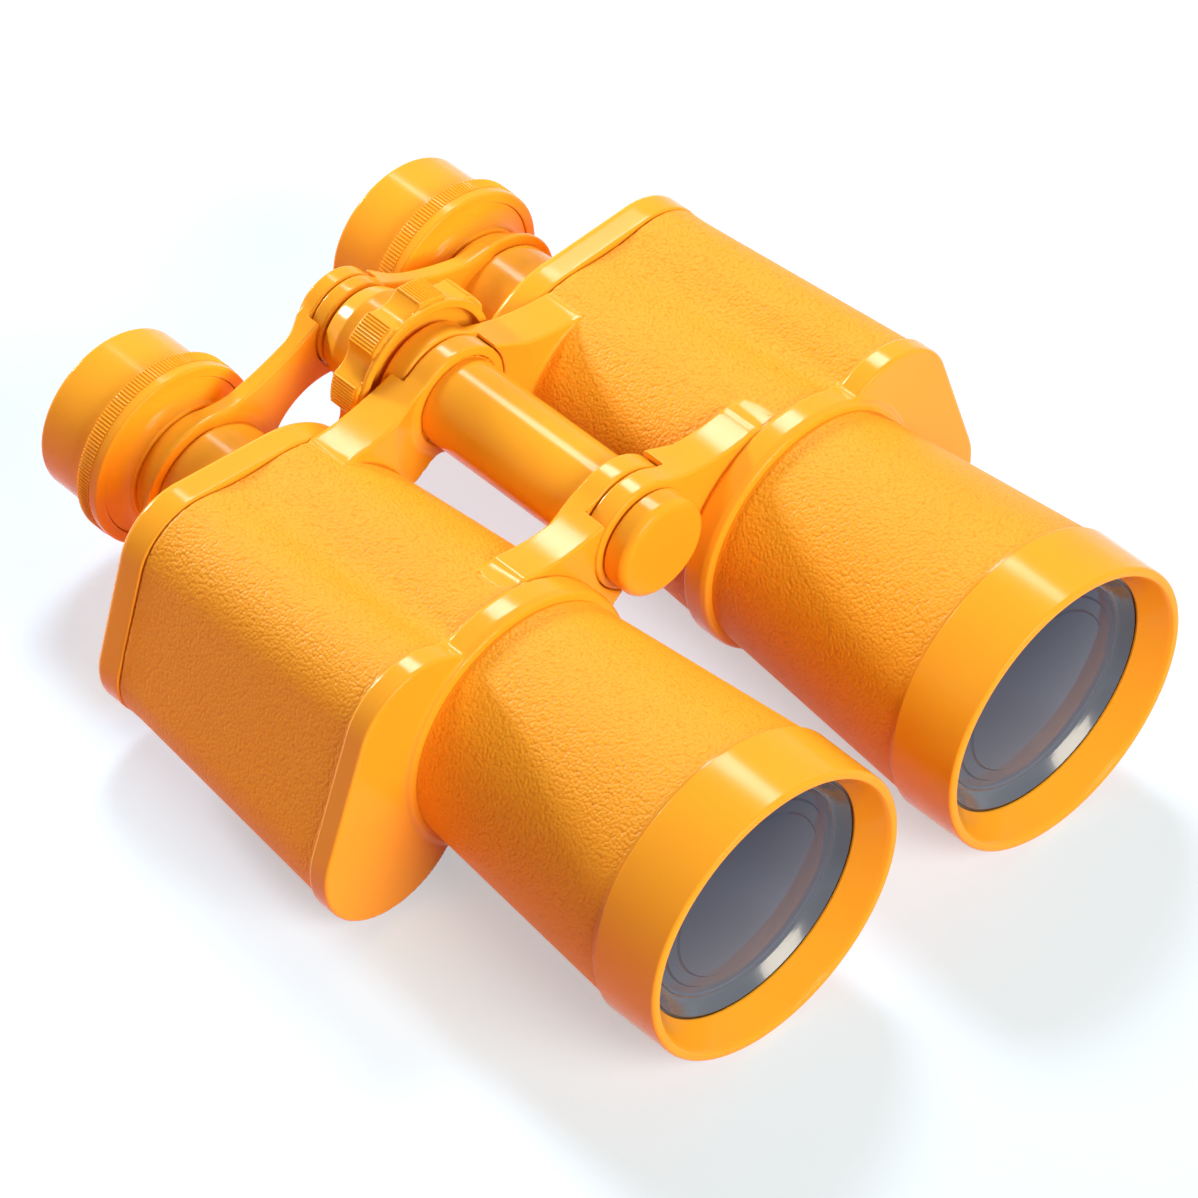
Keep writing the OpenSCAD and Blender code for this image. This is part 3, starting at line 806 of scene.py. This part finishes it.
def make_wheel():
    points, quads, normals = net(wheel_field, *WHEEL_BOX, FINE_CELL)
    verts, faces, normals = placed(points, quads, normals, 1, 0.0, AXIS_HEIGHT + HINGE_RISE)
    finish_piece("scalloped_wheel", verts, faces, normals, "smooth_abs", "focus_wheel", ["focus_wheel"])


# Ridges set round an axis in groups: fine knurl on the eyecups, ten to a lobe on the wheel
RIDGE_INPUTS = {
    "Groups": "Int",
    "Ridges": "Int",
    "Pitch": "Float",
    "Start": "Float",
    "Radius": "Float",
    "Length": "Float",
    "Width": "Float",
    "Height": "Float",
    "Centre": "Vector",
    "Finish": "Material",
}
RIDGE_SIDES = 10


def ridge_tree():
    tree = bpy.data.node_groups.new("ridges_round_an_axis", "GeometryNodeTree")
    sockets = {}
    for label, kind in RIDGE_INPUTS.items():
        socket = tree.interface.new_socket(label, in_out="INPUT", socket_type="NodeSocket" + kind)
        sockets[label] = socket.identifier
    tree.interface.new_socket("Geometry", in_out="OUTPUT", socket_type="NodeSocketGeometry")
    given = add(tree, "NodeGroupInput").outputs
    count = add(tree, "ShaderNodeMath", {0: given["Groups"], 1: given["Ridges"]}, operation="MULTIPLY")
    points = add(tree, "GeometryNodePoints", {"Count": count.outputs[0]})
    index = add(tree, "GeometryNodeInputIndex").outputs[0]
    ratio = add(tree, "ShaderNodeMath", {0: index, 1: given["Ridges"]}, operation="DIVIDE")
    group = add(tree, "ShaderNodeMath", {0: ratio.outputs[0]}, operation="FLOOR")
    place = add(tree, "ShaderNodeMath", {0: index, 1: given["Ridges"]}, operation="MODULO")
    step = add(tree, "ShaderNodeMath", {1: given["Groups"]}, operation="DIVIDE")
    step.inputs[0].default_value = 2 * math.pi
    last = add(tree, "ShaderNodeMath", {0: given["Ridges"]}, operation="SUBTRACT")
    last.inputs[1].default_value = 1.0
    middle = add(tree, "ShaderNodeMath", {0: last.outputs[0]}, operation="DIVIDE")
    middle.inputs[1].default_value = 2.0
    off = add(tree, "ShaderNodeMath", {0: place.outputs[0], 1: middle.outputs[0]}, operation="SUBTRACT")
    fine = add(tree, "ShaderNodeMath", {0: off.outputs[0], 1: given["Pitch"], 2: given["Start"]},
               operation="MULTIPLY_ADD")
    turn = add(tree, "ShaderNodeMath", {0: group.outputs[0], 1: step.outputs[0], 2: fine.outputs[0]},
               operation="MULTIPLY_ADD")
    cos = add(tree, "ShaderNodeMath", {0: turn.outputs[0]}, operation="COSINE")
    sin = add(tree, "ShaderNodeMath", {0: turn.outputs[0]}, operation="SINE")
    out_x = add(tree, "ShaderNodeMath", {0: cos.outputs[0], 1: given["Radius"]}, operation="MULTIPLY")
    out_z = add(tree, "ShaderNodeMath", {0: sin.outputs[0], 1: given["Radius"]}, operation="MULTIPLY")
    where = add(tree, "ShaderNodeCombineXYZ", {"X": out_x.outputs[0], "Z": out_z.outputs[0]})
    spread = add(tree, "GeometryNodeSetPosition",
                 {"Geometry": points.outputs[0], "Position": where.outputs[0]})
    back = add(tree, "ShaderNodeMath", {0: turn.outputs[0]}, operation="MULTIPLY")
    back.inputs[1].default_value = -1.0
    aim = add(tree, "ShaderNodeCombineXYZ", {"Y": back.outputs[0]})
    bar = add(tree, "GeometryNodeMeshCylinder", Vertices=RIDGE_SIDES, Radius=1.0, Depth=1.0)
    laid = add(tree, "GeometryNodeTransform", {"Geometry": bar.outputs["Mesh"]})
    laid.inputs["Rotation"].default_value = (math.pi / 2, 0, 0)
    half = add(tree, "ShaderNodeMath", {0: given["Width"]}, operation="DIVIDE")
    half.inputs[1].default_value = 2.0
    size = add(tree, "ShaderNodeCombineXYZ",
               {"X": given["Height"], "Y": given["Length"], "Z": half.outputs[0]})
    bars = add(tree, "GeometryNodeInstanceOnPoints",
               {"Points": spread.outputs[0], "Instance": laid.outputs[0], "Rotation": aim.outputs[0],
                "Scale": size.outputs[0]})
    moved = add(tree, "GeometryNodeTransform",
                {"Geometry": bars.outputs[0], "Translation": given["Centre"]})
    real = add(tree, "GeometryNodeRealizeInstances", {"Geometry": moved.outputs[0]})
    painted = add(tree, "GeometryNodeSetMaterial",
                  {"Geometry": real.outputs[0], "Material": given["Finish"]})
    add(tree, "NodeGroupOutput", {"Geometry": painted.outputs[0]})
    return tree, sockets


RIDGES, RIDGE_SOCKETS = ridge_tree()


def make_ridges(name, body, **sizes):
    """Runs the ridge tree with its sizes and keeps the result as a plain mesh."""
    seed = bpy.data.objects.new(name + "_seed", bpy.data.meshes.new(name + "_seed"))
    bpy.context.scene.collection.objects.link(seed)
    modifier = seed.modifiers.new("ridges", "NODES")
    modifier.node_group = RIDGES
    for label, value in sizes.items():
        modifier[RIDGE_SOCKETS[label]] = value
    modifier[RIDGE_SOCKETS["Finish"]] = MATERIALS["smooth_abs"]
    graph = bpy.context.evaluated_depsgraph_get()
    mesh = bpy.data.meshes.new_from_object(seed.evaluated_get(graph))
    bpy.data.objects.remove(seed)
    mesh.name = name
    piece = bpy.data.objects.new(name, mesh)
    bpy.context.scene.collection.objects.link(piece)
    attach(piece, body)
    return piece


def station(s):
    return (s - TOTAL_LEN / 2) * MM


# Profiles of the turned pieces
def barrel_r(s):
    return lerp(BARREL_FRONT_R, BARREL_REAR_R, (s - RING_LEN) / (COLLAR_AT - RING_LEN))


def barrel_profile():
    """Front spigot, tapered skin with a smooth line at each end, rear spigot and plain bore."""
    ends = (RING_LEN + 0.5, RING_LEN + 1.0, COLLAR_AT - 0.6, COLLAR_AT - 0.2)
    skin = [(barrel_r(s), s) for s in ends]
    front = [(SPIGOT_R, SPIGOT_AT), (SPIGOT_R, RING_LEN + SEAM), (BARREL_FRONT_R, RING_LEN + SEAM, 0.2)]
    rear = [(BARREL_REAR_R, COLLAR_AT + 0.1, 0.1), (TAIL_SPIGOT_R, COLLAR_AT + 0.1),
            (TAIL_SPIGOT_R, TAIL_SPIGOT_END), (TAIL_BORE_R, TAIL_SPIGOT_END), (SPIGOT_BORE_R, SPIGOT_AT)]
    return front + skin + rear


def barrel_grain(r, s, n):
    """One on the outer skin, none along its ends, on the spigots or in the bore."""
    return RING_LEN + 0.8 < s < COLLAR_AT - 0.4 and n[0] > 0.5


def ring_profile():
    """Lens seat, conical face, rounded lip, and the sleeve over the barrel's spigot."""
    return [(LENS_SEAT_R, SPIGOT_AT), (LENS_SEAT_R, LENS_SEAT_AT), (LENS_R, LENS_SEAT_AT, 0.05),
            (LENS_R, LENS_DEPTH, 0.12), (CONE_R, LIP_AT + 0.6, 0.6), (LIP_IN_R, LIP_AT, 0.5),
            (LIP_OUT_R, LIP_AT, 1.2), (RING_R, RING_LEN - SEAM, 0.25), (SPIGOT_R, RING_LEN - SEAM),
            (SPIGOT_R, SPIGOT_AT)]


def lens_face(r):
    """Station of the bulging face, which drops back at each fine step toward its rim."""
    step = LENS_DROPS[0] if r > LENS_STEPS[0] else LENS_DROPS[1] if r > LENS_STEPS[1] else 0.0
    return LENS_FACE_AT + step - LENS_RIM_RISE - (LENS_RIM_R ** 2 - r * r) / (2 * LENS_BULGE)


def lens_profile():
    """Edge groove, painted dark as shade, polished hollow bevel, a bead and the face."""
    groove = LENS_SEAT_AT + 0.04
    edge_r = LENS_SEAT_R - 0.1
    profile = [(0.0, LENS_BACK), (edge_r, LENS_BACK, 0.1), (edge_r, groove, 0.1),
               (LENS_EDGE + 0.12, groove, 0.05)]
    for k in range(6):
        t = k / 5
        depth = BEVEL_DEPTH * (1 - t) ** BEVEL_HOLLOW
        profile.append((lerp(LENS_EDGE, BEVEL_IN_R, t), LENS_FACE_AT - depth, 0.1))
    profile += [(17.3, LENS_FACE_AT, 0.1), (17.1, LENS_FACE_AT - 0.22, 0.12),
                (16.75, LENS_FACE_AT - 0.02, 0.12)]
    return profile + [(r, lens_face(r), 0.1) for r in LENS_RADII]


def lens_shade_and_polish(r, s, n):
    """One on the edge groove, painted dark as shade; part of it on the polished bevel, painted partly
    darker as shade; none on the face.
    """
    return 1.0 if r > LENS_EDGE + 0.05 else BEVEL_MARK if r > LENS_FACE_R else 0.0


def bell_curve():
    """Hollow quarter-round from the neck out to the skirt of the cup."""
    turns = [math.radians(90 - 10 * k) for k in range(10)]
    across, along = BELL_HOLLOW
    return [(BELL_R - across * math.cos(a), BELL_AT + along * math.sin(a), 0.6) for a in turns]


def eyepiece_profile():
    """Sleeve, ocular seat, spigot of the cup, and the bell."""
    inside = [(SLEEVE_BORE_R, SLEEVE_AT), (SLEEVE_BORE_R, OCULAR_SEAT), (OCULAR_R, OCULAR_SEAT),
              (OCULAR_R, CUP_SPIGOT_END), (CUP_SPIGOT_R, CUP_SPIGOT_END), (CUP_SPIGOT_R, BELL_BACK),
              (BELL_R, BELL_BACK)]
    return inside + bell_curve() + [(SLEEVE_R, BELL_AT, 0.1), (SLEEVE_R, SLEEVE_AT)]


def cup_profile():
    """Bore, floor with the eye hole, flared mouth, wall, band for the knurl, and skirt."""
    band_r = SKIRT_R - KNURL_SINK
    inside = [(CUP_BORE_R, CUP_AT), (CUP_BORE_R, CUP_FLOOR[0]), (EYE_HOLE_R, CUP_FLOOR[0]),
              (EYE_HOLE_R, CUP_FLOOR[1], 0.2), (EYE_HOLE_R + 0.8, CUP_FLOOR[1], 0.2)]
    mouth = [(CUP_MOUTH_R - 0.5, CUP_END - 1.2, 0.6), (CUP_MOUTH_R, CUP_END, 0.9), (CUP_R, CUP_END, 1.15)]
    outside = [(CUP_R, KNURL_END, 0.35), (band_r, KNURL_END, 0.3), (band_r, KNURL_AT, 0.1),
               (SKIRT_R, KNURL_AT, 0.15), (SKIRT_R, SKIRT_AT, 0.55), (SKIRT_BORE_R, SKIRT_AT, 0.3),
               (SKIRT_BORE_R, CUP_AT)]
    return inside + mouth + outside


def make_knurl(side, axis):
    middle = (KNURL_END + KNURL_AT) / 2
    make_ridges(f"{side}_cup_knurl", f"{side}_eyecup", Groups=KNURL_RIDGES, Ridges=1, Pitch=0.0, Start=0.0,
                Radius=(SKIRT_R - 0.12) * MM, Length=(KNURL_END - KNURL_AT - 0.2) * MM, Width=0.38 * MM,
                Height=0.26 * MM, Centre=(axis[0] * MM, station(middle), axis[1] * MM))


def make_wheel_ridges(axis):
    middle = (WHEEL_AT + 0.8 + WHEEL_END) / 2
    make_ridges("wheel_ridges", "focus_wheel", Groups=LOBES, Ridges=LOBE_RIDGES, Pitch=RIDGE_PITCH,
                Start=math.pi / LOBES + WHEEL_PHASE, Radius=(WHEEL_R - 0.12) * MM,
                Length=(WHEEL_END - WHEEL_AT - 1.7) * MM, Width=0.36 * MM, Height=0.34 * MM,
                Centre=(axis[0] * MM, station(middle), axis[1] * MM))


# Both halves, one mirroring the other
for side, sign in SIDES.items():
    axis = (sign * HALF_SPAN, AXIS_HEIGHT)
    half = f"{side}_half"
    make_body(side, sign)
    make_cover(side, sign)
    make_bridge(side, sign)
    turned(f"{side}_tapered_barrel", barrel_profile(), axis, "grained_abs", half, [f"{side}_barrel"],
           mark=("grain", barrel_grain))
    turned(f"{side}_front_ring", ring_profile(), axis, "smooth_abs", half, [f"{side}_objective_ring"])
    turned(f"{side}_front_lens", lens_profile(), axis, "lens_glass", half, [f"{side}_objective_lens"],
           closed=False, mark=("rim", lens_shade_and_polish))
    turned(f"{side}_eyepiece_bell", eyepiece_profile(), axis, "smooth_abs", f"{side}_eyepiece_set",
           [f"{side}_eyepiece"])
    turned(f"{side}_cup", cup_profile(), axis, "smooth_abs", f"{side}_eyecup", [f"{side}_eyecup"])
    make_knurl(side, axis)

# Pieces on the hinge axis
hinge_axis = (0.0, AXIS_HEIGHT + HINGE_RISE)
make_wheel()
make_wheel_ridges(hinge_axis)
turned("centre_tube", [(TUBE_BORE_R, TUBE_ENDS[0]), (TUBE_BORE_R, TUBE_ENDS[1]),
                       (TUBE_R, TUBE_ENDS[1], 0.3), (TUBE_R, TUBE_ENDS[0], 0.3)],
       hinge_axis, "smooth_abs", "right_half", ["hinge_tube"])
turned("round_cap", [(0.0, CAP_BACK), (CAP_R, CAP_BACK, 0.25), (CAP_R, CAP_AT, 1.4), (0.0, CAP_AT)],
       hinge_axis, "smooth_abs", "right_half", ["front_cap"], closed=False)
turned("domed_cap", [(0.0, BRIDGE_CAP[0]), (BRIDGE_CAP_R, BRIDGE_CAP[0], 0.2),
                     (BRIDGE_CAP_R, BRIDGE_CAP[1], 1.2), (0.0, BRIDGE_CAP[1])],
       hinge_axis, "smooth_abs", "right_eyepiece_set", ["bridge_cap"], closed=False)

# Pieces whose solid shape is already right
PLAIN_NODES = {
    "right_baffle": "black_plastic",
    "left_baffle": "black_plastic",
    "hinge_axle": "axle_steel",
    "right_ocular_lens": "lens_glass",
    "left_ocular_lens": "lens_glass",
    "focus_spindle": "smooth_abs",
}
for name, slot in PLAIN_NODES.items():
    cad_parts[name].data.materials.clear()
    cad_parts[name].data.materials.append(MATERIALS[slot])


# Pale floor that keeps the shadow, and plain soft light
def seen_directly(tree):
    """One for rays that show the background: from the camera, mirrored, or through a lens."""
    path = add(tree, "ShaderNodeLightPath").outputs
    most = path["Is Camera Ray"]
    for kind in ("Is Glossy Ray", "Is Transmission Ray"):
        most = add(tree, "ShaderNodeMath", {0: most, 1: path[kind]}, operation="MAXIMUM").outputs[0]
    return most


FLOOR_SIZE = 3.0
FLOOR_GLOW = 0.48
# The floor's own glow grows to white away from the object, between these distances in metres
GLOW_FROM = 0.22
GLOW_FULL = 0.9


def floor_material():
    mat, tree = new_material("pale_floor")
    where = add(tree, "ShaderNodeTexCoord").outputs["Object"]
    cloud = add(tree, "ShaderNodeTexNoise", {"Vector": where}, Scale=3.0)
    shade = add(tree, "ShaderNodeMix", {0: cloud.outputs["Fac"]}, data_type="RGBA")
    shade.inputs[6].default_value = linear("#AFC6DC")
    shade.inputs[7].default_value = linear("#B3CAE0")
    paint = add(tree, "ShaderNodeBsdfDiffuse", {"Color": shade.outputs[2]})
    away = add(tree, "ShaderNodeVectorMath", {0: where}, operation="LENGTH")
    pale_far = add(tree, "ShaderNodeMapRange", {"Value": away.outputs["Value"]}, From_Min=GLOW_FROM,
                   From_Max=GLOW_FULL, To_Min=FLOOR_GLOW, To_Max=1.0)
    glow = add(tree, "ShaderNodeEmission", {"Strength": pale_far.outputs[0]}, Color=linear("#FBFDFF"))
    pale = add(tree, "ShaderNodeAddShader", {0: paint.outputs[0], 1: glow.outputs[0]})
    bounce = add(tree, "ShaderNodeBsdfDiffuse", Color=linear("#EE9C94"))
    mix = add(tree, "ShaderNodeMixShader",
              {0: seen_directly(tree), 1: bounce.outputs[0], 2: pale.outputs[0]})
    add(tree, "ShaderNodeOutputMaterial", {"Surface": mix.outputs[0]})
    return mat


floor_mesh = bpy.data.meshes.new("floor")
corners = [(-1, -1), (1, -1), (1, 1), (-1, 1)]
floor_mesh.from_pydata([(x * FLOOR_SIZE, y * FLOOR_SIZE, 0) for x, y in corners], [], [(0, 1, 2, 3)])
floor_mesh.materials.append(floor_material())
floor = bpy.data.objects.new("floor", floor_mesh)
bpy.context.scene.collection.objects.link(floor)

world = bpy.data.worlds.new("studio")
bpy.context.scene.world = world
world.use_nodes = True
world.node_tree.nodes.clear()
AMBIENT = 0.07
fill = add(world.node_tree, "ShaderNodeBackground", Color=linear("#FFC8A8"), Strength=AMBIENT)
sky = add(world.node_tree, "ShaderNodeBackground", Color=linear("#FFFFFF"), Strength=1.0)
mixed = add(world.node_tree, "ShaderNodeMixShader",
            {0: seen_directly(world.node_tree), 1: fill.outputs[0], 2: sky.outputs[0]})
add(world.node_tree, "ShaderNodeOutputWorld", {"Surface": mixed.outputs[0]})


LIGHT_AIM = Vector((0.0, 0.0, 0.02))


def facing(azimuth, elevation):
    """Direction from the object toward an azimuth and elevation in degrees; azimuth 0 is the front."""
    az, el = math.radians(azimuth), math.radians(elevation)
    return Vector((math.sin(az) * math.cos(el), -math.cos(az) * math.cos(el), math.sin(el)))


def softbox(name, azimuth, elevation, distance, size, power, colour="#FFFFFF"):
    """Square or oblong area lamp, aimed at the object."""
    lamp = bpy.data.lights.new(name, "AREA")
    lamp.shape = "RECTANGLE"
    lamp.size, lamp.size_y = size
    lamp.energy = power
    lamp.color = linear(colour)[:3]
    way = facing(azimuth, elevation)
    turn = way.to_track_quat("Z", "Y").to_matrix().to_4x4()
    obj = bpy.data.objects.new(name, lamp)
    obj.matrix_world = Matrix.Translation(LIGHT_AIM + way * distance) @ turn
    bpy.context.scene.collection.objects.link(obj)


softbox("top_light", azimuth=142, elevation=52, distance=0.9, size=(0.26, 0.2), power=5.0)
softbox("back_light", azimuth=-176, elevation=16, distance=1.0, size=(0.16, 0.16), power=9.0)
softbox("front_light", azimuth=-3, elevation=31, distance=1.1, size=(0.6, 0.6), power=13.5,
        colour="#FFF3DC")

# Camera at the photograph's angle
EYE = Vector((-0.417416, -0.438534, 0.609034))
CAMERA_AZIMUTH = -43.854
CAMERA_ELEVATION = 44.425
CAMERA_ROLL = math.radians(0.536)
IMAGE_SIZE = 1198
FOCAL_PIXELS = 5718.46
back = facing(CAMERA_AZIMUTH, CAMERA_ELEVATION)
right = Vector((math.cos(math.radians(CAMERA_AZIMUTH)), math.sin(math.radians(CAMERA_AZIMUTH)), 0))
up = back.cross(right)
across = right * math.cos(CAMERA_ROLL) + up * math.sin(CAMERA_ROLL)
upward = up * math.cos(CAMERA_ROLL) - right * math.sin(CAMERA_ROLL)
lens = bpy.data.cameras.new("camera")
lens.sensor_width = 36.0
lens.lens = FOCAL_PIXELS / IMAGE_SIZE * lens.sensor_width
lens.clip_start = 0.01
lens.clip_end = 20.0
camera = bpy.data.objects.new("camera", lens)
camera.matrix_world = Matrix.Translation(EYE) @ Matrix((across, upward, back)).transposed().to_4x4()
bpy.context.scene.collection.objects.link(camera)
bpy.context.scene.camera = camera
bpy.context.scene.view_settings.view_transform = "Standard"
